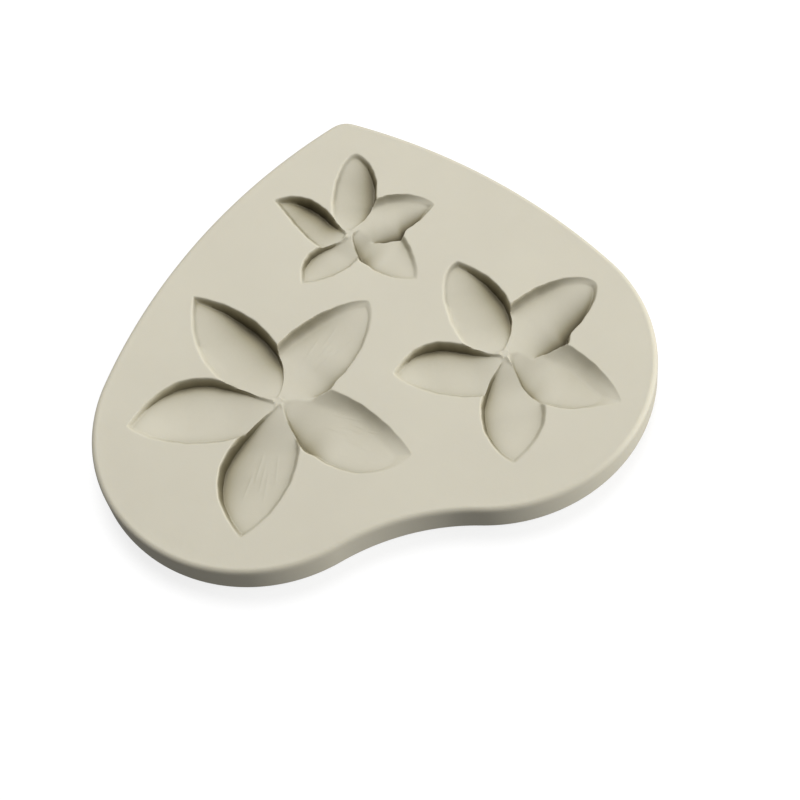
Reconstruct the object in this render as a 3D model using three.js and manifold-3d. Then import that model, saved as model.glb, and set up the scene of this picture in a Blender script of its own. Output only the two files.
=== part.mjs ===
import * as THREE from 'three';
import { mergeVertices } from 'three/addons/utils/BufferGeometryUtils.js';
import Module from 'manifold-3d';

// A silicone mould: a heart-shaped slab with three frangipani flowers sunk in its upper face.
// The slab is one casting, drawn as a face layer bonded on a backing layer, which meet in a level
// seam. Millimetres, +Z up, underside on Z = 0.

// Slab
const THICKNESS = 6;
const FACE_LAYER = 2.1;
const TOP_ROUND = 1.5;
const BASE_ROUND = 1;

// Heart outline: three corner circles joined by long arcs that touch them
const TIP_X = -0.6;
const TIP_Y = 54.1;
const TIP_RADIUS = 4;
const LEFT_LOBE_X = -23.6;
const LEFT_LOBE_Y = 1.6;
const LEFT_LOBE_RADIUS = 27.1;
const RIGHT_LOBE_X = 15.1;
const RIGHT_LOBE_Y = 4.6;
const RIGHT_LOBE_RADIUS = 27.7;
const LEFT_FLANK_RADIUS = 100;
const RIGHT_FLANK_RADIUS = 112;
const CLEFT_RADIUS = 39;

// Flowers: each petal has its heading in degrees anticlockwise from +X, its length from the
// flower's centre, its depth, the depth at its shallow edge, and for its deep (clockwise) and its
// shallow side the half width and the powers that shape it at the root and at the tip
const LARGE_FLOWER = {
  x: -19.4,
  y: 4.5,
  petals: [
    {
      heading: 116, length: 26, depth: 4, edgeDepth: 0.5,
      deep: { width: 5.9, rootPower: 0.69, tipPower: 0.92 },
      shallow: { width: 5.9, rootPower: 0.79, tipPower: 0.88 },
    },
    {
      heading: 41, length: 23.3, depth: 3.2, edgeDepth: 1.1,
      deep: { width: 5.5, rootPower: 0.54, tipPower: 0.69 },
      shallow: { width: 7.1, rootPower: 0.33, tipPower: 0.66 },
    },
    {
      heading: 323, length: 24.4, depth: 3.2, edgeDepth: 1.4,
      deep: { width: 7.3, rootPower: 0.83, tipPower: 0.61 },
      shallow: { width: 5.3, rootPower: 0.45, tipPower: 0.87 },
    },
    {
      heading: 248, length: 25.1, depth: 3.2, edgeDepth: 0.9,
      deep: { width: 6.5, rootPower: 1.19, tipPower: 0.98 },
      shallow: { width: 6, rootPower: 0.65, tipPower: 0.79 },
    },
    {
      heading: 178, length: 25.2, depth: 2.8, edgeDepth: 0.8,
      deep: { width: 6.9, rootPower: 1.3, tipPower: 1.02 },
      shallow: { width: 6.1, rootPower: 0.44, tipPower: 0.69 },
    },
  ],
};
const MEDIUM_FLOWER = {
  x: 18.2,
  y: 5,
  petals: [
    {
      heading: 102, length: 19.8, depth: 3.5, edgeDepth: 0.5,
      deep: { width: 4.7, rootPower: 0.85, tipPower: 0.98 },
      shallow: { width: 6, rootPower: 0.3, tipPower: 0.43 },
    },
    {
      heading: 29, length: 19.9, depth: 3.1, edgeDepth: 1.4,
      deep: { width: 5.8, rootPower: 0.73, tipPower: 1 },
      shallow: { width: 6.4, rootPower: 0.35, tipPower: 0.61 },
    },
    {
      heading: 320, length: 21.1, depth: 3.1, edgeDepth: 1.1,
      deep: { width: 5.7, rootPower: 1.11, tipPower: 1.2 },
      shallow: { width: 6, rootPower: 0.36, tipPower: 0.74 },
    },
    {
      heading: 263, length: 20.6, depth: 3.1, edgeDepth: 0.9,
      deep: { width: 4.8, rootPower: 0.97, tipPower: 0.79 },
      shallow: { width: 5.9, rootPower: 1.08, tipPower: 0.95 },
    },
    {
      heading: 179, length: 18.6, depth: 3.3, edgeDepth: 0.8,
      deep: { width: 4.4, rootPower: 1.57, tipPower: 1.02 },
      shallow: { width: 7.6, rootPower: 0.2, tipPower: 0.66 },
    },
  ],
};
const SMALL_FLOWER = {
  x: -2.8,
  y: 34.4,
  petals: [
    {
      heading: 141, length: 15.6, depth: 3, edgeDepth: 0.7,
      deep: { width: 3.1, rootPower: 1.43, tipPower: 0.87 },
      shallow: { width: 5.2, rootPower: 0.2, tipPower: 1.09 },
    },
    {
      heading: 77, length: 16.7, depth: 3, edgeDepth: 0.6,
      deep: { width: 4.4, rootPower: 0.77, tipPower: 0.7 },
      shallow: { width: 3.8, rootPower: 0.31, tipPower: 0.46 },
    },
    {
      heading: 8, length: 15.3, depth: 3, edgeDepth: 1.2,
      deep: { width: 4.7, rootPower: 1.07, tipPower: 1.2 },
      shallow: { width: 5, rootPower: 0.6, tipPower: 0.69 },
    },
    {
      heading: 308, length: 15.5, depth: 2.8, edgeDepth: 1,
      deep: { width: 3.3, rootPower: 0.85, tipPower: 0.89 },
      shallow: { width: 6.3, rootPower: 0.2, tipPower: 0.72 },
    },
    {
      heading: 221, length: 13, depth: 2.2, edgeDepth: 0.7,
      deep: { width: 3, rootPower: 1.6, tipPower: 1.1 },
      shallow: { width: 4.9, rootPower: 0.32, tipPower: 0.79 },
    },
  ],
};

// Petal shape shared by all flowers
const ROOT_SHARE = 0.2;
const TIP_SHARE = 0.35;
const DEEPEST_SHARE = 0.46;
const FLOOR_POWER = 2;
const PLATEAU_SHARE = 0.2;
const DEEP_WALL_RUN = 0.45;
const SHALLOW_WALL_RUN = 0.6;
const WALL_RUN_SHARE = 0.3;
const THROAT_RADIUS = 1;
const THROAT_DEPTH = 0.5;

// Fineness of the facets
const ARC_STEPS = { tip: 8, leftFlank: 14, leftLobe: 34, cleft: 14, rightLobe: 34, rightFlank: 14 };
const TOP_ROUND_STEPS = 5;
const BASE_ROUND_STEPS = 3;
const THROAT_STEPS = 16;
const PETAL_STEPS = 16;
const PETAL_START_SHARE = 0.015;
const PETAL_END_SHARE = 0.992;
const FLOOR_STEPS = [0, 0.15, 0.35, 0.65, 1];
const OVERCUT = 1;

const SILICONE_COLOUR = 0xcdc8b5;
const SILICONE_ROUGHNESS = 0.6;

const wasm = await Module();
wasm.setup();

// Centre of the arc that touches two circles: from inside them (hollow false) the arc bulges
// out, from outside them (hollow true) it runs in as a hollow
function touchingCentre(first, second, radius, hollow) {
  const sign = hollow ? 1 : -1;
  const fromFirst = radius + sign * first.radius;
  const fromSecond = radius + sign * second.radius;
  const along = second.centre.clone().sub(first.centre);
  const gap = along.length();
  along.normalize();
  const inward = new THREE.Vector2(-along.y, along.x);
  const reach = (fromFirst ** 2 - fromSecond ** 2 + gap ** 2) / (2 * gap);
  const rise = Math.sqrt(fromFirst ** 2 - reach ** 2);
  return first.centre.clone().addScaledVector(along, reach).addScaledVector(inward, -sign * rise);
}

// Points of an arc from one angle to another, the last one left to the next arc
function arcPoints(centre, radius, from, to, clockwise, steps) {
  const turn = 2 * Math.PI;
  const sweep = clockwise ? -((((from - to) % turn) + turn) % turn) : (((to - from) % turn) + turn) % turn;
  const points = [];
  for (let i = 0; i < steps; i += 1) {
    const angle = from + (sweep * i) / steps;
    points.push(new THREE.Vector2(centre.x + radius * Math.cos(angle), centre.y + radius * Math.sin(angle)));
  }
  return points;
}

function angleFrom(centre, target) {
  return Math.atan2(target.y - centre.y, target.x - centre.x);
}

// The heart, anticlockwise from the tip, drawn in by an inset
function heartOutline(inset) {
  const tip = { centre: new THREE.Vector2(TIP_X, TIP_Y), radius: TIP_RADIUS };
  const left = { centre: new THREE.Vector2(LEFT_LOBE_X, LEFT_LOBE_Y), radius: LEFT_LOBE_RADIUS };
  const right = { centre: new THREE.Vector2(RIGHT_LOBE_X, RIGHT_LOBE_Y), radius: RIGHT_LOBE_RADIUS };
  const leftFlank = touchingCentre(tip, left, LEFT_FLANK_RADIUS, false);
  const cleft = touchingCentre(left, right, CLEFT_RADIUS, true);
  const rightFlank = touchingCentre(right, tip, RIGHT_FLANK_RADIUS, false);
  const tipEnd = angleFrom(leftFlank, tip.centre);
  const leftStart = angleFrom(leftFlank, left.centre);
  const leftEnd = angleFrom(left.centre, cleft);
  const rightStart = angleFrom(right.centre, cleft);
  const rightEnd = angleFrom(rightFlank, right.centre);
  const tipStart = angleFrom(rightFlank, tip.centre);
  const opposite = (angle) => angle + Math.PI;
  return [
    ...arcPoints(tip.centre, tip.radius - inset, tipStart, tipEnd, false, ARC_STEPS.tip),
    ...arcPoints(leftFlank, LEFT_FLANK_RADIUS - inset, tipEnd, leftStart, false, ARC_STEPS.leftFlank),
    ...arcPoints(left.centre, left.radius - inset, leftStart, leftEnd, false, ARC_STEPS.leftLobe),
    ...arcPoints(cleft, CLEFT_RADIUS + inset, opposite(leftEnd), opposite(rightStart), true, ARC_STEPS.cleft),
    ...arcPoints(right.centre, right.radius - inset, rightStart, rightEnd, false, ARC_STEPS.rightLobe),
    ...arcPoints(rightFlank, RIGHT_FLANK_RADIUS - inset, rightEnd, tipStart, false, ARC_STEPS.rightFlank),
  ];
}

// Closed body through a stack of rings that have the same number of points; the flat pictures of
// the first and last ring say how those two are filled in
function loftBody(rings, firstFlat, lastFlat) {
  const count = rings[0].length;
  const index = [];
  for (let r = 0; r + 1 < rings.length; r += 1) {
    for (let i = 0; i < count; i += 1) {
      const here = r * count + i;
      const next = r * count + ((i + 1) % count);
      index.push(here, next, next + count, here, next + count, here + count);
    }
  }
  const last = (rings.length - 1) * count;
  for (const [a, b, c] of THREE.ShapeUtils.triangulateShape(firstFlat, [])) {
    index.push(a, c, b);
  }
  for (const [a, b, c] of THREE.ShapeUtils.triangulateShape(lastFlat, [])) {
    index.push(last + a, last + b, last + c);
  }
  const geometry = new THREE.BufferGeometry().setFromPoints(rings.flat());
  geometry.setIndex(index);
  return geometry;
}

// Inset and drop of a quarter-round edge, from the side wall (0) to the level face (steps)
function roundedEdge(radius, step, steps) {
  const angle = (step / steps) * (Math.PI / 2);
  return { inset: radius * (1 - Math.cos(angle)), drop: radius * (1 - Math.sin(angle)) };
}

// Levels of the backing layer, from its rounded foot up to the seam
function backingLevels() {
  const levels = [];
  for (let i = BASE_ROUND_STEPS; i >= 0; i -= 1) {
    const { inset, drop } = roundedEdge(BASE_ROUND, i, BASE_ROUND_STEPS);
    levels.push({ inset, z: drop });
  }
  levels.push({ inset: 0, z: THICKNESS - FACE_LAYER });
  return levels;
}

// Levels of the face layer, from the seam up to its rounded upper edge
function faceLevels() {
  const levels = [{ inset: 0, z: THICKNESS - FACE_LAYER }];
  for (let i = 0; i <= TOP_ROUND_STEPS; i += 1) {
    const { inset, drop } = roundedEdge(TOP_ROUND, i, TOP_ROUND_STEPS);
    levels.push({ inset, z: THICKNESS - drop });
  }
  return levels;
}

// Heart-shaped layer through a stack of levels, each with the inset of its outline
function slabGeometry(levels) {
  const outlines = levels.map(({ inset }) => heartOutline(inset));
  const rings = outlines.map((outline, i) => outline.map((p) => new THREE.Vector3(p.x, p.y, levels[i].z)));
  return loftBody(rings, outlines[0], outlines[outlines.length - 1]);
}

// Half width of one side of a petal, from the root (0) to the tip (1)
function sideWidth(side, along) {
  const widestAt = side.rootPower / (side.rootPower + side.tipPower);
  const root = (along / widestAt) ** side.rootPower;
  const tip = ((1 - along) / (1 - widestAt)) ** side.tipPower;
  return side.width * root * tip;
}

// Depth of the floor as a share of the petal's depth: least at the root and tip, all in between
function depthShare(along) {
  const inner = along < DEEPEST_SHARE;
  const share = inner ? along / DEEPEST_SHARE : (1 - along) / (1 - DEEPEST_SHARE);
  const rise = THREE.MathUtils.smoothstep(share, 0, 1 - PLATEAU_SHARE);
  return THREE.MathUtils.lerp(inner ? ROOT_SHARE : TIP_SHARE, 1, rise);
}

// Depth of the petal's dished floor, across from the shallow side (0) to the deep side (1)
function floorDepth(petal, along, across) {
  const dish = 1 - (1 - across) ** FLOOR_POWER;
  return depthShare(along) * THREE.MathUtils.lerp(petal.edgeDepth, petal.depth, dish);
}

// Cross-section of the plug that fills a petal's pocket: sideways distance and height
function petalSection(petal, along) {
  const shallowRim = -sideWidth(petal.shallow, along);
  const deepRim = sideWidth(petal.deep, along);
  const width = deepRim - shallowRim;
  const floorStart = shallowRim + Math.min(SHALLOW_WALL_RUN, WALL_RUN_SHARE * width);
  const floorEnd = deepRim - Math.min(DEEP_WALL_RUN, WALL_RUN_SHARE * width);
  const section = [new THREE.Vector2(shallowRim, THICKNESS)];
  for (const step of FLOOR_STEPS) {
    const side = THREE.MathUtils.lerp(floorStart, floorEnd, step);
    const across = (side - shallowRim) / width;
    section.push(new THREE.Vector2(side, THICKNESS - floorDepth(petal, along, across)));
  }
  section.push(new THREE.Vector2(deepRim, THICKNESS));
  section.push(new THREE.Vector2(deepRim, THICKNESS + OVERCUT));
  section.push(new THREE.Vector2(shallowRim, THICKNESS + OVERCUT));
  return section;
}

// Plug of one petal, lofted from the petal's tip in to the flower's centre
function petalGeometry(flower, petal) {
  const heading = THREE.MathUtils.degToRad(petal.heading);
  const ahead = new THREE.Vector2(Math.cos(heading), Math.sin(heading));
  const sections = [];
  const rings = [];
  for (let i = 0; i <= PETAL_STEPS; i += 1) {
    const share = (1 - Math.cos((Math.PI * i) / PETAL_STEPS)) / 2;
    const along = THREE.MathUtils.lerp(PETAL_END_SHARE, PETAL_START_SHARE, share);
    const section = petalSection(petal, along);
    const reach = along * petal.length;
    sections.push(section);
    rings.push(section.map((p) => new THREE.Vector3(
      flower.x + reach * ahead.x + p.x * ahead.y,
      flower.y + reach * ahead.y - p.x * ahead.x,
      p.y,
    )));
  }
  return loftBody(rings, sections[0], sections[sections.length - 1]);
}

// Plug of the small level floor where the petals of a flower meet
function throatGeometry(flower) {
  const height = THROAT_DEPTH + OVERCUT;
  const geometry = new THREE.CylinderGeometry(THROAT_RADIUS, THROAT_RADIUS, height, THROAT_STEPS);
  geometry.rotateX(Math.PI / 2);
  geometry.translate(flower.x, flower.y, THICKNESS - THROAT_DEPTH + height / 2);
  return geometry;
}

function toManifold(geometry) {
  const bare = new THREE.BufferGeometry();
  bare.setAttribute('position', geometry.getAttribute('position').clone());
  bare.setIndex(geometry.getIndex());
  const merged = mergeVertices(bare);
  return new wasm.Manifold(new wasm.Mesh({
    numProp: 3,
    vertProperties: new Float32Array(merged.getAttribute('position').array),
    triVerts: new Uint32Array(merged.getIndex().array),
  }));
}

function toGeometry(manifold) {
  const mesh = manifold.getMesh();
  const geometry = new THREE.BufferGeometry();
  geometry.setAttribute('position', new THREE.BufferAttribute(new Float32Array(mesh.vertProperties), 3));
  geometry.setIndex(new THREE.BufferAttribute(new Uint32Array(mesh.triVerts), 1));
  return geometry;
}

// A layer of the slab less every throat and petal, with the middle of the heart over the origin
function layerGeometry(levels) {
  let body = toManifold(slabGeometry(levels));
  for (const flower of [LARGE_FLOWER, MEDIUM_FLOWER, SMALL_FLOWER]) {
    body = body.subtract(toManifold(throatGeometry(flower)));
    for (const petal of flower.petals) {
      body = body.subtract(toManifold(petalGeometry(flower, petal)));
    }
  }
  const middle = new THREE.Box2().setFromPoints(heartOutline(0)).getCenter(new THREE.Vector2());
  const geometry = toGeometry(body);
  geometry.translate(-middle.x, -middle.y, 0);
  geometry.computeVertexNormals();
  return geometry;
}

function siliconeMaterial() {
  return new THREE.MeshStandardMaterial({
    color: SILICONE_COLOUR,
    roughness: SILICONE_ROUGHNESS,
    metalness: 0,
  });
}

const backingLayer = new THREE.Mesh(layerGeometry(backingLevels()), siliconeMaterial());
backingLayer.name = 'backing_layer';

const faceLayer = new THREE.Mesh(layerGeometry(faceLevels()), siliconeMaterial());
faceLayer.name = 'face_layer';

const mould = new THREE.Group();
mould.name = 'silicone_fondant_mould';
mould.add(backingLayer, faceLayer);

export default mould;
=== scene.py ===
import math

import bpy
import numpy as np
from mathutils import Matrix, Vector
from mathutils.geometry import delaunay_2d_cdt
from mathutils.kdtree import KDTree


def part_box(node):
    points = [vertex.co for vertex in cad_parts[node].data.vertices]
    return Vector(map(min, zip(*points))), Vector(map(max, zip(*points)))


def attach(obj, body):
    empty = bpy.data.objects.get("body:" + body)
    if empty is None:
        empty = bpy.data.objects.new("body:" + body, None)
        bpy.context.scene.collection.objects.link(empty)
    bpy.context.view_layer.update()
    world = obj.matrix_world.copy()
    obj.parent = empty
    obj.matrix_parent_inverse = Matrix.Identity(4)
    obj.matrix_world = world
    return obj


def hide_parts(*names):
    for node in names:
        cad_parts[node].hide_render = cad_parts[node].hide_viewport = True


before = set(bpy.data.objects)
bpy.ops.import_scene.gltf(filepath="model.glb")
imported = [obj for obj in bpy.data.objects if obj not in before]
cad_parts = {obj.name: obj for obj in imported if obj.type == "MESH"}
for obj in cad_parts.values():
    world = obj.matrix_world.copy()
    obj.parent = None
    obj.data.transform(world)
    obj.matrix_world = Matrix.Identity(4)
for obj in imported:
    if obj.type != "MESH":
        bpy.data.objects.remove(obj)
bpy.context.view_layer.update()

# A heart-shaped silicone mould with three frangipani flowers sunk in its face. The shape is drawn
# in millimetres, in the heart's own drawing frame, and turned into metres at the end.

MM = 0.001

# Slab: its thickness, the rounds of its edge, and how far the shown skin stays inside the solid
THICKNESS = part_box("face_layer")[1].z / MM
TOP_ROUND = 1.0
BASE_ROUND = 1.0
SKIN = 0.03

# Heart outline: corner circles (x, y, radius) and the radii of the arcs that touch them
TIP = (-0.6, 54.1, 4.0)
LEFT_LOBE = (-23.6, 1.6, 27.1)
RIGHT_LOBE = (15.1, 4.6, 27.7)
LEFT_FLANK_RADIUS = 100.0
RIGHT_FLANK_RADIUS = 112.0
CLEFT_RADIUS = 39.0

# Flowers: each petal has a heading in degrees, a length, and the depth of its floor at the deep
# (clockwise) side and, as edge, at the shallow side. Toward the tip, the far values take over from these.
# A swell keeps the floor high until near the deep side. A cove is the run of a hollow slope inside the
# shallow rim. Each side has a half width and the powers that shape its root and tip, and may have a
# spur: where along the petal its rim juts out, as a share of the length, and by how much.
FLOWERS = [
    {
        "centre": (-19.4, 4.5),
        "petals": [
            {
                "heading": 116, "length": 26, "depth": 3.3, "edge": 0.35,
                "deep": {"width": 5.9, "root": 0.69, "tip": 0.92},
                "shallow": {"width": 5.9, "root": 0.79, "tip": 0.88},
            },
            {
                "heading": 41, "length": 23.3, "depth": 2.3, "edge": 1.1, "cove": 1.5, "veined": True,
                "far_depth": 0.9, "far_edge": 1.9,
                "deep": {"width": 5.6, "root": 0.54, "tip": 0.69, "spur": {"at": 0.27, "rise": 0.5}},
                "shallow": {"width": 7.1, "root": 0.33, "tip": 0.66},
            },
            {
                "heading": 323, "length": 24.4, "depth": 3.2, "edge": 1.2, "cove": 3.0, "veined": True,
                "far_depth": 0.8, "far_edge": 2.2,
                "deep": {"width": 7.3, "root": 0.83, "tip": 0.61, "spur": {"at": 0.33, "rise": 0.5}},
                "shallow": {"width": 5.3, "root": 0.45, "tip": 0.87},
            },
            {
                "heading": 248, "length": 25.1, "depth": 2.4, "edge": 0.9, "veined": True,
                "deep": {"width": 6.5, "root": 1.19, "tip": 0.98},
                "shallow": {"width": 6, "root": 0.65, "tip": 0.79},
            },
            {
                "heading": 178, "length": 25.2, "depth": 1.9, "edge": 0.8,
                "deep": {"width": 6.9, "root": 1.3, "tip": 1.02},
                "shallow": {"width": 6.1, "root": 0.44, "tip": 0.69},
            },
        ],
    },
    {
        "centre": (18.2, 5),
        "petals": [
            {
                "heading": 102, "length": 19.8, "depth": 2.9, "edge": 0.3,
                "deep": {"width": 4.7, "root": 0.85, "tip": 0.98},
                "shallow": {"width": 6, "root": 0.3, "tip": 0.43},
            },
            {
                "heading": 29, "length": 19.9, "depth": 3.1, "edge": 1.5, "swell": 5, "cove": 1.2,
                "deep": {"width": 4.65, "root": 0.45, "tip": 0.62, "spur": {"at": 0.44, "rise": 1.1}},
                "shallow": {"width": 6.4, "root": 0.35, "tip": 0.52},
            },
            {
                "heading": 320, "length": 21.1, "depth": 3.3, "edge": 1.1, "cove": 3.6,
                "far_depth": 0.9, "far_edge": 2.5,
                "deep": {"width": 5.7, "root": 1.11, "tip": 1.2, "spur": {"at": 0.42, "rise": 0.25}},
                "shallow": {"width": 6, "root": 0.36, "tip": 0.74},
            },
            {
                "heading": 263, "length": 20.6, "depth": 2.3, "edge": 0.9,
                "far_depth": 1.6, "far_edge": 0.9,
                "deep": {"width": 4.8, "root": 0.97, "tip": 0.79},
                "shallow": {"width": 5.9, "root": 1.08, "tip": 0.95},
            },
            {
                "heading": 179, "length": 18.6, "depth": 2.1, "edge": 0.8,
                "deep": {"width": 4.4, "root": 1.57, "tip": 1.02},
                "shallow": {"width": 7.6, "root": 0.2, "tip": 0.66},
            },
        ],
    },
    {
        "centre": (-2.8, 34.4),
        "petals": [
            {
                "heading": 141, "length": 15.6, "depth": 2.6, "edge": 0.7,
                "deep": {"width": 3.1, "root": 1.43, "tip": 0.87},
                "shallow": {"width": 5.2, "root": 0.2, "tip": 1.09},
            },
            {
                "heading": 77, "length": 16.7, "depth": 2.6, "edge": 0.3,
                "deep": {"width": 4.2, "root": 0.77, "tip": 0.7, "spur": {"at": 0.41, "rise": 0.2}},
                "shallow": {"width": 3.8, "root": 0.31, "tip": 0.46},
            },
            {
                "heading": 8, "length": 15.3, "depth": 2.9, "edge": 1.2, "swell": 5, "cove": 1.3,
                "deep": {"width": 3.6, "root": 0.6, "tip": 0.9, "spur": {"at": 0.51, "rise": 1.2}},
                "shallow": {"width": 5, "root": 0.6, "tip": 0.69},
            },
            {
                "heading": 308, "length": 15.5, "depth": 2.8, "edge": 1,
                "far_depth": 0.9, "far_edge": 1,
                "deep": {"width": 3.3, "root": 0.85, "tip": 0.89, "spur": {"at": 0.34, "rise": 0.3}},
                "shallow": {"width": 6.3, "root": 0.2, "tip": 0.72},
            },
            {
                "heading": 221, "length": 13, "depth": 1.3, "edge": 0.7,
                "deep": {"width": 3, "root": 1.6, "tip": 1.1},
                "shallow": {"width": 4.9, "root": 0.32, "tip": 0.79},
            },
        ],
    },
]

# Floor along a petal: depth at root and tip as shares of the deepest, where along the petal it is
# deepest, how much of the way to there is level, and how near the very ends it is worked out
ROOT_SHARE = 0.2
TIP_SHARE = 0.35
DEEPEST_SHARE = 0.46
PLATEAU_SHARE = 0.2
END_SHARE = 0.001

# Floor across a petal: the power of its curve, and where along the petal the far values take over
FLOOR_POWER = 1.3
FAR_START = 0.15
FAR_RUN = 0.4

# Wall of a petal: its run from rim to floor on either side, and the powers of its curves
DEEP_RUN = 0.7
SHALLOW_RUN = 1.0
RIM_POWER = 1.7
COVE_POWER = 2

# Rim of a petal: how a spur swells and ends, and a slight waver of two waves that fades at the ends
SPUR_POWER = 3
SPUR_DROP = 0.1
WAVER = 0.03
WAVER_TURN = 28.0
WAVER_SECOND_TURN = 53.2
WAVER_FADE = 6
WAVER_START_BY_WIDTH = 5
WAVER_START_BY_ROOT = 9

# Throat: a small dip where the petals of a flower meet
THROAT_RADIUS = 1.0
THROAT_DEPTH = 0.3
THROAT_STEEPNESS = 2

# Slight waves of the face: height, lengths along x and y per radian, starts and shares of two waves
WAVE_HEIGHT = 0.03
LONG_WAVE = {"x": 6.1, "y": 7.3, "x_start": 0.7, "y_start": -0.4, "share": 0.7}
SHORT_WAVE = {"x": 2.9, "slant": 4.3, "y": 3.7, "y_start": 1.1, "share": 0.3}

# Short veins on the floors of the veined petals; start, length and stagger are shares of the petal's
# length, and the rows are lines of points beside each vein, in vein widths
VEIN_COUNT = 5
VEIN_GAP = 1.0
VEIN_WIDTH = 0.15
VEIN_HEIGHT = 0.045
VEIN_START = 0.34
VEIN_LENGTH = 0.26
VEIN_STAGGER = 0.07
VEIN_FAN = 0.2
VEIN_FADE = 3
VEIN_ROWS = (-2, -1, 0, 1, 2)

# Fineness of the mesh: steps and clearances between points, and rows of points at these distances
# inside the rims or, below zero, outside them
OUTLINE_STEP = 0.6
RIM_SAMPLES = 300
ROW_STEP = 0.3
ROW_GAP = 0.07
ROW_SLACK = 0.03
ROW_CLEARANCE = 0.2
RIM_ROWS = (-0.14, -0.03, 0.07, 0.16, 0.27, 0.4, 0.55, 0.7, 0.84, 1.0, 1.2)
SEEN_STEP = 0.1
POCKET_STEP = 0.42
POCKET_START = 0.01
COARSE_STEP = 1.2
COARSE_CLEARANCE = 0.5 * COARSE_STEP
TOP_ROUND_STEPS = 8
WALL_STEPS = 5
BASE_ROUND_STEPS = 5
BASE_STEP = 4.0
BASE_CLEARANCE = 0.4 * BASE_STEP
POINT_GAP = 1e-6
SHARP_ANGLE = math.radians(48)

# Silicone: two near tints, and painted shade: the share of them that is left where hollows close a point
# in
TINT_STOPS = [
    {"at": 0.3, "colour": (0.60, 0.565, 0.455, 1)},
    {"at": 0.7, "colour": (0.635, 0.60, 0.485, 1)},
]
PAINTED_SHADE_REACH = 9.0
PAINTED_SHADE_SAMPLES = 16
PAINTED_SHADE_STOPS = [
    {"at": 0.0, "colour": (0.0, 0.0, 0.0, 1)},
    {"at": 0.25, "colour": (0.012, 0.010, 0.005, 1)},
    {"at": 0.5, "colour": (0.18, 0.158, 0.10, 1)},
    {"at": 0.7, "colour": (0.52, 0.49, 0.39, 1)},
    {"at": 0.88, "colour": (0.815, 0.81, 0.78, 1)},
    {"at": 1.0, "colour": (1.0, 1.0, 1.0, 1)},
]

# Studio: half the width of the floor, and round lamps that look at the mould from one distance, all
# in metres; azimuths are in degrees anticlockwise from +X
FLOOR_HALF = 3.0
LAMP_DISTANCE = 1.0
LAMPS = [
    {"name": "key", "azimuth": 85, "elevation": 60, "size": 0.65, "power": 7.6},
    {"name": "fill", "azimuth": 345, "elevation": 48, "size": 0.60, "power": 2.1},
    {"name": "side", "azimuth": 320, "elevation": 15, "size": 0.40, "power": 0.8},
    {"name": "right", "azimuth": 347, "elevation": 1.6, "size": 0.045, "power": 6.5},
]

# Camera: its distance in metres from the drawing frame's origin on the face, its height and roll as
# angles, and its lens in millimetres
CAMERA_DISTANCE = 0.300
CAMERA_ELEVATION = math.radians(60.0)
CAMERA_ROLL = math.radians(11.3)
FOCAL_LENGTH = 83.7
SENSOR_WIDTH = 36.0
CLIP_START = 0.01


def touching_centre(first, second, radius, hollow):
    """Centre of the arc that touches two circles, as a bulge or, where hollow, from outside."""
    sign = 1 if hollow else -1
    start = np.array(first[:2])
    along = np.array(second[:2]) - start
    gap = np.hypot(*along)
    along = along / gap
    inward = np.array((-along[1], along[0]))
    from_first = radius + sign * first[2]
    from_second = radius + sign * second[2]
    reach = (from_first ** 2 - from_second ** 2 + gap ** 2) / (2 * gap)
    rise = math.sqrt(from_first ** 2 - reach ** 2)
    return start + along * reach - inward * sign * rise


def angle_from(centre, target):
    """Direction of a target as seen from a centre."""
    return math.atan2(target[1] - centre[1], target[0] - centre[0])


def heart_arcs():
    """Centre, radius, start, sweep and hollowness of each arc, anticlockwise from the tip."""
    turn = 2 * math.pi
    left_flank = touching_centre(TIP, LEFT_LOBE, LEFT_FLANK_RADIUS, False)
    cleft = touching_centre(LEFT_LOBE, RIGHT_LOBE, CLEFT_RADIUS, True)
    right_flank = touching_centre(RIGHT_LOBE, TIP, RIGHT_FLANK_RADIUS, False)
    tip_start = angle_from(right_flank, TIP)
    tip_end = angle_from(left_flank, TIP)
    left_start = angle_from(left_flank, LEFT_LOBE)
    left_end = angle_from(LEFT_LOBE, cleft)
    right_start = angle_from(RIGHT_LOBE, cleft)
    right_end = angle_from(right_flank, RIGHT_LOBE)
    cleft_start = left_end + math.pi
    cleft_end = right_start + math.pi
    return [
        (TIP, TIP[2], tip_start, (tip_end - tip_start) % turn, False),
        (left_flank, LEFT_FLANK_RADIUS, tip_end, (left_start - tip_end) % turn, False),
        (LEFT_LOBE, LEFT_LOBE[2], left_start, (left_end - left_start) % turn, False),
        (cleft, CLEFT_RADIUS, cleft_start, -((cleft_start - cleft_end) % turn), True),
        (RIGHT_LOBE, RIGHT_LOBE[2], right_start, (right_end - right_start) % turn, False),
        (right_flank, RIGHT_FLANK_RADIUS, right_end, (tip_start - right_end) % turn, False),
    ]


def heart_outline(inset):
    """Points of the heart drawn in by an inset, always the same number of them."""
    rows = []
    for centre, radius, start, sweep, hollow in heart_arcs():
        count = max(2, round(abs(sweep) * radius / OUTLINE_STEP))
        angle = start + sweep * np.arange(count) / count
        inner = inset + SKIN
        drawn = radius + inner if hollow else radius - inner
        x = centre[0] + drawn * np.cos(angle)
        y = centre[1] + drawn * np.sin(angle)
        rows.append(np.column_stack((x, y)))
    return np.vstack(rows)


def heart_middle():
    """Middle of the heart's box, which lies over the origin of the shared frame."""
    outline = heart_outline(0)
    return (outline.min(axis=0) + outline.max(axis=0)) / 2


def smooth(share):
    """Share of a rise that starts and ends level."""
    share = np.clip(share, 0, 1)
    return share * share * (3 - 2 * share)


def mix(first, second, share):
    """Value that lies a share of the way from the first to the second."""
    return first + (second - first) * share


def ease_along(along):
    """Depth of the floor as a share of the petal's depth, from the root to the tip."""
    inner = along < DEEPEST_SHARE
    share = np.where(inner, along / DEEPEST_SHARE, (1 - along) / (1 - DEEPEST_SHARE))
    return mix(np.where(inner, ROOT_SHARE, TIP_SHARE), 1.0, smooth(share / (1 - PLATEAU_SHARE)))


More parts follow.
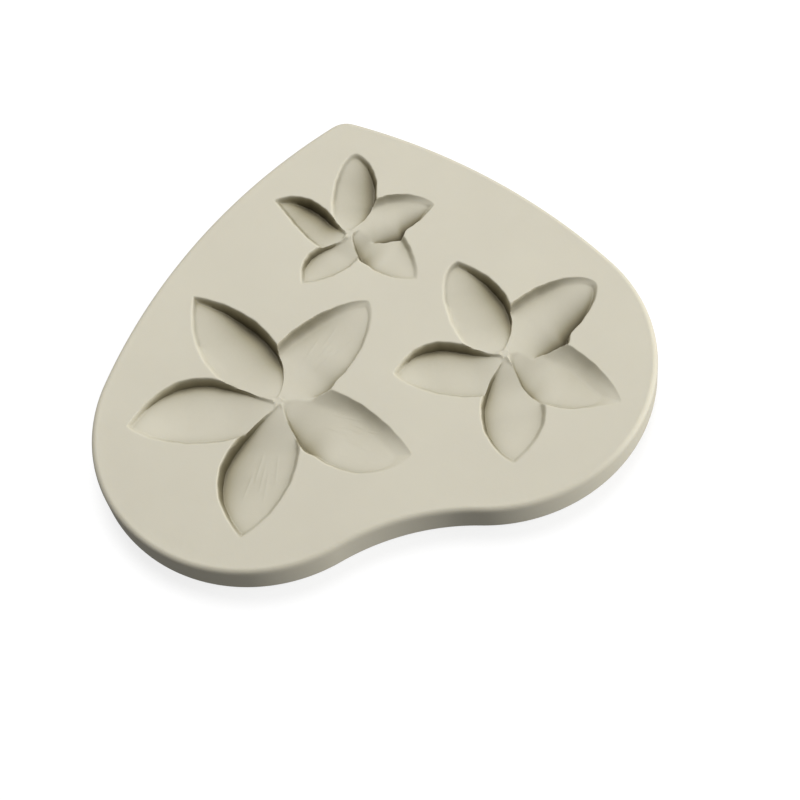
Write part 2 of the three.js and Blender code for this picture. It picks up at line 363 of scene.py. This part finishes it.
def spur_width(side, along):
    """Extra width of a side that widens to a spur, where its rim crosses the next petal's."""
    if "spur" not in side:
        return 0.0
    at = side["spur"]["at"]
    before = np.minimum(along / at, 1) ** SPUR_POWER
    return side["spur"]["rise"] * before * (1 - smooth((along - at) / SPUR_DROP))


def rim_waver(side, along):
    """Slight unevenness of a rim, different for each side of each petal."""
    start = WAVER_START_BY_WIDTH * side["width"] + WAVER_START_BY_ROOT * side["root"]
    wave = np.sin(start + WAVER_TURN * along) + np.sin(2 * start + WAVER_SECOND_TURN * along)
    return WAVER * wave * smooth(WAVER_FADE * along) * smooth(WAVER_FADE * (1 - along))


def side_width(side, along):
    """Half width of one side of a petal, from the root (0) to the tip (1)."""
    root = side["root"]
    tip = side["tip"]
    widest = root / (root + tip)
    width = side["width"] * (along / widest) ** root * ((1 - along) / (1 - widest)) ** tip
    return width + spur_width(side, along) + rim_waver(side, along)


def petal_axes(petal):
    """Directions along a petal and to its clockwise side."""
    heading = math.radians(petal["heading"])
    ahead = np.array((math.cos(heading), math.sin(heading)))
    return ahead, np.array((ahead[1], -ahead[0]))


def petal_frame(flower, petal, points):
    """How far along the petal and how far to its clockwise side points lie."""
    ahead, clockwise = petal_axes(petal)
    away = points - np.array(flower["centre"])
    return away @ ahead / petal["length"], away @ clockwise


def petal_points(flower, petal, forward, side):
    """Points that lie so far forward from the flower's centre and to the petal's clockwise side."""
    ahead, clockwise = petal_axes(petal)
    return np.array(flower["centre"]) + np.outer(forward, ahead) + np.outer(side, clockwise)


def petal_rim(flower, petal):
    """Closed rim of a petal, evenly spaced, from the root along the shallow side and back."""
    out = (1 - np.cos(np.linspace(0, math.pi, RIM_SAMPLES))) / 2
    back = out[::-1]
    along = np.concatenate((out, back))
    side = np.concatenate((-side_width(petal["shallow"], out), side_width(petal["deep"], back)))
    rim = petal_points(flower, petal, along * petal["length"], side)
    run = np.concatenate(([0.0], np.cumsum(np.hypot(*np.diff(rim, axis=0).T))))
    even = np.linspace(0, run[-1], round(run[-1] / ROW_STEP), endpoint=False)
    return np.column_stack((np.interp(even, run, rim[:, 0]), np.interp(even, run, rim[:, 1])))


def vein_ends(petal):
    """Ends of the veins of a petal: each as how far along and how far to the clockwise side."""
    for i in range(VEIN_COUNT):
        start = VEIN_START + VEIN_STAGGER * (2 * i % 3)
        side = VEIN_GAP * (i - VEIN_COUNT / 2)
        first = np.array((start * petal["length"], side * (1 - VEIN_FAN)))
        last = np.array(((start + VEIN_LENGTH) * petal["length"], side * (1 + VEIN_FAN)))
        yield first, last


def vein_height(petal, along, side):
    """How far the veins rise from the floor of a petal."""
    points = np.column_stack((along * petal["length"], side))
    height = np.zeros(len(points))
    for first, last in vein_ends(petal):
        line = last - first
        share = np.clip((points - first) @ line / (line @ line), 0, 1)
        gap = np.hypot(*(points - first - share[:, None] * line).T)
        fade = smooth(VEIN_FADE * share) * smooth(VEIN_FADE * (1 - share))
        height = np.maximum(height, VEIN_HEIGHT * fade * np.exp(-((gap / VEIN_WIDTH) ** 2)))
    return height


def vein_rows(flower, petal):
    """Rows of points along the veins of a petal."""
    rows = []
    for first, last in vein_ends(petal):
        length = np.hypot(*(last - first))
        across = np.array((first[1] - last[1], last[0] - first[0])) / length
        share = np.linspace(0, 1, round(length / ROW_STEP))[:, None]
        for i in VEIN_ROWS:
            row = first + share * (last - first) + i * VEIN_WIDTH * across
            rows.append(petal_points(flower, petal, row[:, 0], row[:, 1]))
    return np.vstack(rows)


def petal_floor(flower, petal, points):
    """Depth of a petal's floor, and the share of the way from its shallow to its deep side."""
    along, side = petal_frame(flower, petal, points)
    along = np.clip(along, END_SHARE, 1 - END_SHARE)
    shallow = side_width(petal["shallow"], along)
    deep = side_width(petal["deep"], along)
    across = np.clip((side + shallow) / (shallow + deep), 0, 1)
    dish = (1 - (1 - across) ** FLOOR_POWER) ** petal.get("swell", 1)
    far = smooth((along - FAR_START) / FAR_RUN)
    edge = mix(petal["edge"], petal.get("far_edge", petal["edge"]), far)
    deepest = mix(petal["depth"], petal.get("far_depth", petal["depth"]), far)
    depth = ease_along(along) * mix(edge, deepest, dish)
    if petal.get("veined"):
        depth = depth - vein_height(petal, along, side)
    return depth, across


def rim_gap(points, rim):
    """Distance of points from a closed rim, where they lie inside it, else less than nothing."""
    inside, near = outline_gap(points, rim)
    return np.where(inside, near, -near)


def petal_depth(flower, petal, points):
    """Depth of one petal's pocket under the face: a dished floor inside a rounded wall."""
    depth = np.zeros(len(points))
    rim = petal_rim(flower, petal)
    close = np.all((points > rim.min(axis=0)) & (points < rim.max(axis=0)), axis=1)
    floor, across = petal_floor(flower, petal, points[close])
    gap = rim_gap(points[close], rim)
    run = mix(petal.get("cove", SHALLOW_RUN), DEEP_RUN, smooth(across))
    down = np.clip(gap / run, 0, 1)
    slope = 1 - (1 - down) ** COVE_POWER if "cove" in petal else smooth(down)
    depth[close] = floor * mix(slope, down ** RIM_POWER, smooth(across))
    return depth


def flower_depth(flower, points, left_out=None):
    """Depth of a flower under the face: where petals cross, the deeper one shows."""
    away = np.hypot(*(points - np.array(flower["centre"])).T)
    depth = THROAT_DEPTH * smooth(THROAT_STEEPNESS * (1 - away / THROAT_RADIUS))
    for petal in flower["petals"]:
        if petal is not left_out:
            depth = np.maximum(depth, petal_depth(flower, petal, points))
    return depth


def pocket_depth(points):
    """Depth of all three flowers under the face."""
    return np.max([flower_depth(flower, points) for flower in FLOWERS], axis=0)


def rim_rows(flower, petal):
    """Rows of points beside a petal's rim, where the rim is not lost in other petals."""
    rim = petal_rim(flower, petal)
    ahead = np.roll(rim, -1, axis=0) - np.roll(rim, 1, axis=0)
    inward = np.column_stack((ahead[:, 1], -ahead[:, 0])) / np.hypot(*ahead.T)[:, None]
    floor = petal_floor(flower, petal, rim)[0]
    seen = flower_depth(flower, rim, petal) < floor - SEEN_STEP
    rows = []
    for drawn in RIM_ROWS:
        row = rim[seen] + inward[seen] * drawn
        rows.append(row[np.abs(rim_gap(row, rim) - drawn) < ROW_SLACK])
    return np.vstack(rows)


def thinned(points, gap):
    """The points less those that lie within a gap of an earlier one."""
    kept = []
    cells = {}
    for point in points.tolist():
        column = math.floor(point[0] / gap)
        row = math.floor(point[1] / gap)
        around = [cells.get((column + i, row + j), ()) for i in (-1, 0, 1) for j in (-1, 0, 1)]
        if all(math.dist(point, other) >= gap for cell in around for other in cell):
            cells.setdefault((column, row), []).append(point)
            kept.append(point)
    return np.array(kept)


def hex_points(low, high, step):
    """Points of a triangular grid over a rectangle."""
    rows = np.arange(low[1], high[1], step * math.sqrt(3) / 2)
    columns = np.arange(low[0], high[0], step)
    x, y = np.meshgrid(columns, rows)
    x[1::2] += step / 2
    return np.column_stack((x.ravel(), y.ravel()))


def outline_gap(points, outline):
    """Which points lie inside a closed outline, and how far all lie from it."""
    inside = np.zeros(len(points), bool)
    near = np.full(len(points), np.inf)
    for first, second in zip(outline, np.roll(outline, -1, axis=0)):
        along = second - first
        share = np.clip((points - first) @ along / (along @ along), 0, 1)
        gap = points - first - share[:, None] * along
        near = np.minimum(near, np.hypot(gap[:, 0], gap[:, 1]))
        crosses = (first[1] > points[:, 1]) != (second[1] > points[:, 1])
        rise = points[:, 1] - first[1]
        lean = along[0] / along[1] if along[1] else 0.0
        inside ^= crosses & (points[:, 0] < first[0] + rise * lean)
    return inside, near


def inside_outline(points, outline, margin):
    """Which points lie inside an outline by more than a margin."""
    inside, near = outline_gap(points, outline)
    return inside & (near > margin)


def triangulate(outline, inner):
    """Points and triangles that fill an outline and pass through inner points; outline first."""
    points = np.vstack((outline, inner))
    count = len(outline)
    edges = [(i, (i + 1) % count) for i in range(count)]
    made = delaunay_2d_cdt([Vector(p) for p in points], edges, [], 0, POINT_GAP, True)
    made_faces = made[2]
    made_from = made[3]
    source = np.array([ids[0] for ids in made_from])
    triangles = source[np.array(made_faces)]
    return points, triangles[inside_outline(points[triangles].mean(axis=1), outline, 0.0)]


def waviness(x, y):
    """Slight unevenness of a cast face."""
    long_x = np.sin(x / LONG_WAVE["x"] + LONG_WAVE["x_start"])
    long_y = np.cos(y / LONG_WAVE["y"] + LONG_WAVE["y_start"])
    short_x = np.sin(x / SHORT_WAVE["x"] - y / SHORT_WAVE["slant"])
    short_y = np.cos(y / SHORT_WAVE["y"] + SHORT_WAVE["y_start"])
    return WAVE_HEIGHT * (LONG_WAVE["share"] * long_x * long_y + SHORT_WAVE["share"] * short_x * short_y)


def clear_of(points, rows, gap):
    """The points that lie farther than a gap from every point of the rows."""
    tree = KDTree(len(rows))
    for i, (x, y) in enumerate(rows.tolist()):
        tree.insert((x, y, 0.0), i)
    tree.balance()
    near = np.array([tree.find((x, y, 0.0))[2] for x, y in points.tolist()])
    return points[near > gap]


def face_points(outline):
    """Inner points of the face: rows along rims and veins, close in the pockets, coarse outside."""
    low = outline.min(axis=0)
    high = outline.max(axis=0)
    petals = [(flower, petal) for flower in FLOWERS for petal in flower["petals"]]
    rims = [rim_rows(flower, petal) for flower, petal in petals]
    veins = [vein_rows(flower, petal) for flower, petal in petals if petal.get("veined")]
    rows = thinned(np.vstack(rims + veins), ROW_GAP)
    pocket = hex_points(low, high, POCKET_STEP)
    pocket = clear_of(pocket[pocket_depth(pocket) > POCKET_START], rows, ROW_CLEARANCE)
    close = np.vstack((rows, pocket))
    coarse = hex_points(low, high, COARSE_STEP)
    coarse = coarse[inside_outline(coarse, outline, COARSE_CLEARANCE)]
    coarse = clear_of(coarse[pocket_depth(coarse) < POCKET_START], close, COARSE_CLEARANCE)
    return np.vstack((close, coarse))


def quarter_round(radius, steps):
    """Inset and drop along a rounded edge, from the level face to the wall."""
    angle = np.arange(1, steps + 1) / steps * math.pi / 2
    return [(radius * (1 - math.sin(a)), radius * (1 - math.cos(a))) for a in angle]


def side_levels():
    """Inset and height of each ring down the edge, from under the face to the base."""
    levels = [(inset, THICKNESS - drop) for inset, drop in quarter_round(TOP_ROUND, TOP_ROUND_STEPS)]
    top = THICKNESS - TOP_ROUND
    for step in range(1, WALL_STEPS):
        levels.append((0.0, mix(top, BASE_ROUND, step / WALL_STEPS)))
    for inset, drop in reversed(quarter_round(BASE_ROUND, BASE_ROUND_STEPS)):
        levels.append((inset, drop))
    levels.append((BASE_ROUND, 0.0))
    return levels


def face_surface():
    """Points and triangles of the upper face with its pockets; the outline's points come first."""
    outline = heart_outline(TOP_ROUND)
    count = len(outline)
    face, triangles = triangulate(outline, face_points(outline))
    height = THICKNESS - pocket_depth(face) + waviness(face[:, 0], face[:, 1]) - WAVE_HEIGHT
    height[:count] = THICKNESS - WAVE_HEIGHT
    return np.column_stack((face, height)), triangles


def edge_rings(start, count):
    """Points and triangles of the edge, ring under ring from the face's outline, and the last ring."""
    rows = []
    triangles = []
    ring = np.arange(count)
    for inset, z in side_levels():
        rows.append(np.column_stack((heart_outline(inset), np.full(count, z))))
        fresh = start + np.arange(count)
        triangles.append(np.column_stack((ring, fresh, np.roll(fresh, -1))))
        triangles.append(np.column_stack((ring, np.roll(fresh, -1), np.roll(ring, -1))))
        ring = fresh
        start = start + count
    return np.vstack(rows), np.vstack(triangles), ring


def base_surface(start, ring):
    """Inner points and triangles of the flat underside, which ends at the last ring of the edge."""
    outline = heart_outline(BASE_ROUND)
    grid = hex_points(outline.min(axis=0), outline.max(axis=0), BASE_STEP)
    grid = grid[inside_outline(grid, outline, BASE_CLEARANCE)]
    base, triangles = triangulate(outline, grid)
    inner = base[len(outline):]
    index = np.concatenate((ring, start + np.arange(len(inner))))
    return np.column_stack((inner, np.zeros(len(inner)))), index[triangles][:, ::-1]


def mould_mesh():
    """Closed mesh of the casting: its face, its rounded edge and its underside."""
    face, face_triangles = face_surface()
    edge, edge_triangles, ring = edge_rings(len(face), len(heart_outline(TOP_ROUND)))
    base, base_triangles = base_surface(len(face) + len(edge), ring)
    points = np.vstack((face, edge, base)) - np.append(heart_middle(), 0.0)
    triangles = np.vstack((face_triangles, edge_triangles, base_triangles))
    mesh = bpy.data.meshes.new("mould")
    mesh.from_pydata((points * MM).tolist(), [], triangles.tolist())
    mesh.validate()
    for polygon in mesh.polygons:
        polygon.use_smooth = True
    mesh.set_sharp_from_angle(angle=SHARP_ANGLE)
    return mesh


def set_ramp(ramp, stops):
    """Give a colour ramp its stops, in rising order."""
    for element, stop in zip(ramp.elements, (stops[0], stops[-1])):
        element.position = stop["at"]
        element.color = stop["colour"]
    for stop in stops[1:-1]:
        ramp.elements.new(stop["at"]).color = stop["colour"]


def cloudy_tint(nodes, links, cloud):
    """Colour that drifts between the two tints of the silicone."""
    tint = nodes.new("ShaderNodeValToRGB")
    set_ramp(tint.color_ramp, TINT_STOPS)
    links.new(cloud.outputs["Fac"], tint.inputs["Fac"])
    return tint


def painted_hollow_shade(nodes, links):
    """Painted shade: share of the colour that is left where the mould's own shape closes a point in."""
    # Painted shade: occlusion by the mould's own shape darkens the base colour in pockets and creases
    hollow = nodes.new("ShaderNodeAmbientOcclusion")
    hollow.samples = PAINTED_SHADE_SAMPLES
    hollow.only_local = True
    hollow.inputs["Distance"].default_value = PAINTED_SHADE_REACH * MM
    shade = nodes.new("ShaderNodeValToRGB")
    set_ramp(shade.color_ramp, PAINTED_SHADE_STOPS)
    links.new(hollow.outputs["AO"], shade.inputs["Fac"])
    return shade


def fine_grain(nodes, links, place):
    """Fine grain of the cast skin."""
    grain = nodes.new("ShaderNodeTexNoise")
    grain.inputs["Scale"].default_value = 1800.0
    grain.inputs["Detail"].default_value = 2.0
    links.new(place.outputs["Object"], grain.inputs["Vector"])
    bump = nodes.new("ShaderNodeBump")
    bump.inputs["Strength"].default_value = 0.15
    bump.inputs["Distance"].default_value = 0.00005
    links.new(grain.outputs["Fac"], bump.inputs["Height"])
    return bump


def silicone_material():
    """Matt cream silicone, a little cloudy, with shade painted into its colour where it is hollow."""
    material = bpy.data.materials.new("silicone")
    material.use_nodes = True
    nodes = material.node_tree.nodes
    links = material.node_tree.links
    shader = nodes["Principled BSDF"]
    shader.inputs["Subsurface Weight"].default_value = 0.1
    shader.inputs["Subsurface Radius"].default_value = (1.0, 0.8, 0.5)
    shader.inputs["Subsurface Scale"].default_value = 0.0008
    shader.inputs["Specular IOR Level"].default_value = 0.35
    place = nodes.new("ShaderNodeTexCoord")
    cloud = nodes.new("ShaderNodeTexNoise")
    cloud.inputs["Scale"].default_value = 60.0
    cloud.inputs["Detail"].default_value = 3.0
    links.new(place.outputs["Object"], cloud.inputs["Vector"])
    # Painted shade: the cloudy tint is multiplied by the darkening of pockets, wall feet and creases
    shaded = nodes.new("ShaderNodeMixRGB")
    shaded.blend_type = "MULTIPLY"
    shaded.inputs["Fac"].default_value = 1.0
    links.new(cloudy_tint(nodes, links, cloud).outputs["Color"], shaded.inputs["Color1"])
    links.new(painted_hollow_shade(nodes, links).outputs["Color"], shaded.inputs["Color2"])
    links.new(shaded.outputs["Color"], shader.inputs["Base Color"])
    gloss = nodes.new("ShaderNodeMapRange")
    gloss.inputs["To Min"].default_value = 0.5
    gloss.inputs["To Max"].default_value = 0.66
    links.new(cloud.outputs["Fac"], gloss.inputs["Value"])
    links.new(gloss.outputs["Result"], shader.inputs["Roughness"])
    links.new(fine_grain(nodes, links, place).outputs["Normal"], shader.inputs["Normal"])
    return material


def floor_material():
    """Plain white floor that shines a little, so that it stays pale."""
    material = bpy.data.materials.new("floor")
    material.use_nodes = True
    shader = material.node_tree.nodes["Principled BSDF"]
    shader.inputs["Base Color"].default_value = (0.3, 0.3, 0.3, 1)
    shader.inputs["Roughness"].default_value = 0.9
    shader.inputs["Specular IOR Level"].default_value = 0.1
    shader.inputs["Emission Color"].default_value = (1.0, 1.0, 1.0, 1)
    shader.inputs["Emission Strength"].default_value = 0.78
    return material


def add_mould():
    mould = bpy.data.objects.new("mould", mould_mesh())
    mould.data.materials.append(silicone_material())
    bpy.context.scene.collection.objects.link(mould)
    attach(mould, "root")
    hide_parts("face_layer", "backing_layer")


def add_floor():
    half = FLOOR_HALF
    corners = [(-half, -half, 0), (half, -half, 0), (half, half, 0), (-half, half, 0)]
    mesh = bpy.data.meshes.new("floor")
    mesh.from_pydata(corners, [], [(0, 1, 2, 3)])
    mesh.materials.append(floor_material())
    floor = bpy.data.objects.new("floor", mesh)
    floor.visible_diffuse = False
    floor.visible_glossy = False
    bpy.context.scene.collection.objects.link(floor)


def add_light(name, azimuth, elevation, size, power):
    """Round lamp that looks at the mould."""
    lamp = bpy.data.lights.new(name, "AREA")
    lamp.shape = "DISK"
    lamp.size = size
    lamp.energy = power
    light = bpy.data.objects.new(name, lamp)
    turn = math.radians(azimuth)
    rise = math.radians(elevation)
    away = Vector((math.cos(turn) * math.cos(rise), math.sin(turn) * math.cos(rise), math.sin(rise)))
    light.location = away * LAMP_DISTANCE
    light.rotation_euler = away.to_track_quat("Z", "Y").to_euler()
    bpy.context.scene.collection.objects.link(light)


def add_world():
    """Weak even light from all round, and colours shown as they are."""
    world = bpy.data.worlds.new("studio")
    world.use_nodes = True
    background = world.node_tree.nodes["Background"]
    background.inputs["Color"].default_value = (1.0, 1.0, 1.0, 1)
    background.inputs["Strength"].default_value = 0.2
    bpy.context.scene.world = world
    bpy.context.scene.view_settings.view_transform = "Standard"


def add_camera():
    lens = bpy.data.cameras.new("camera")
    lens.sensor_width = SENSOR_WIDTH
    lens.lens = FOCAL_LENGTH
    lens.clip_start = CLIP_START
    camera = bpy.data.objects.new("camera", lens)
    back = Vector((0.0, -math.cos(CAMERA_ELEVATION), math.sin(CAMERA_ELEVATION)))
    turn = back.to_track_quat("Z", "Y").to_matrix().to_4x4()
    roll = Matrix.Rotation(-CAMERA_ROLL, 4, "Z")
    target = Vector((*-heart_middle(), THICKNESS)) * MM
    camera.matrix_world = Matrix.Translation(target + back * CAMERA_DISTANCE) @ turn @ roll
    bpy.context.scene.collection.objects.link(camera)
    bpy.context.scene.camera = camera


add_mould()
add_floor()
for lamp_values in LAMPS:
    add_light(**lamp_values)
add_world()
add_camera()
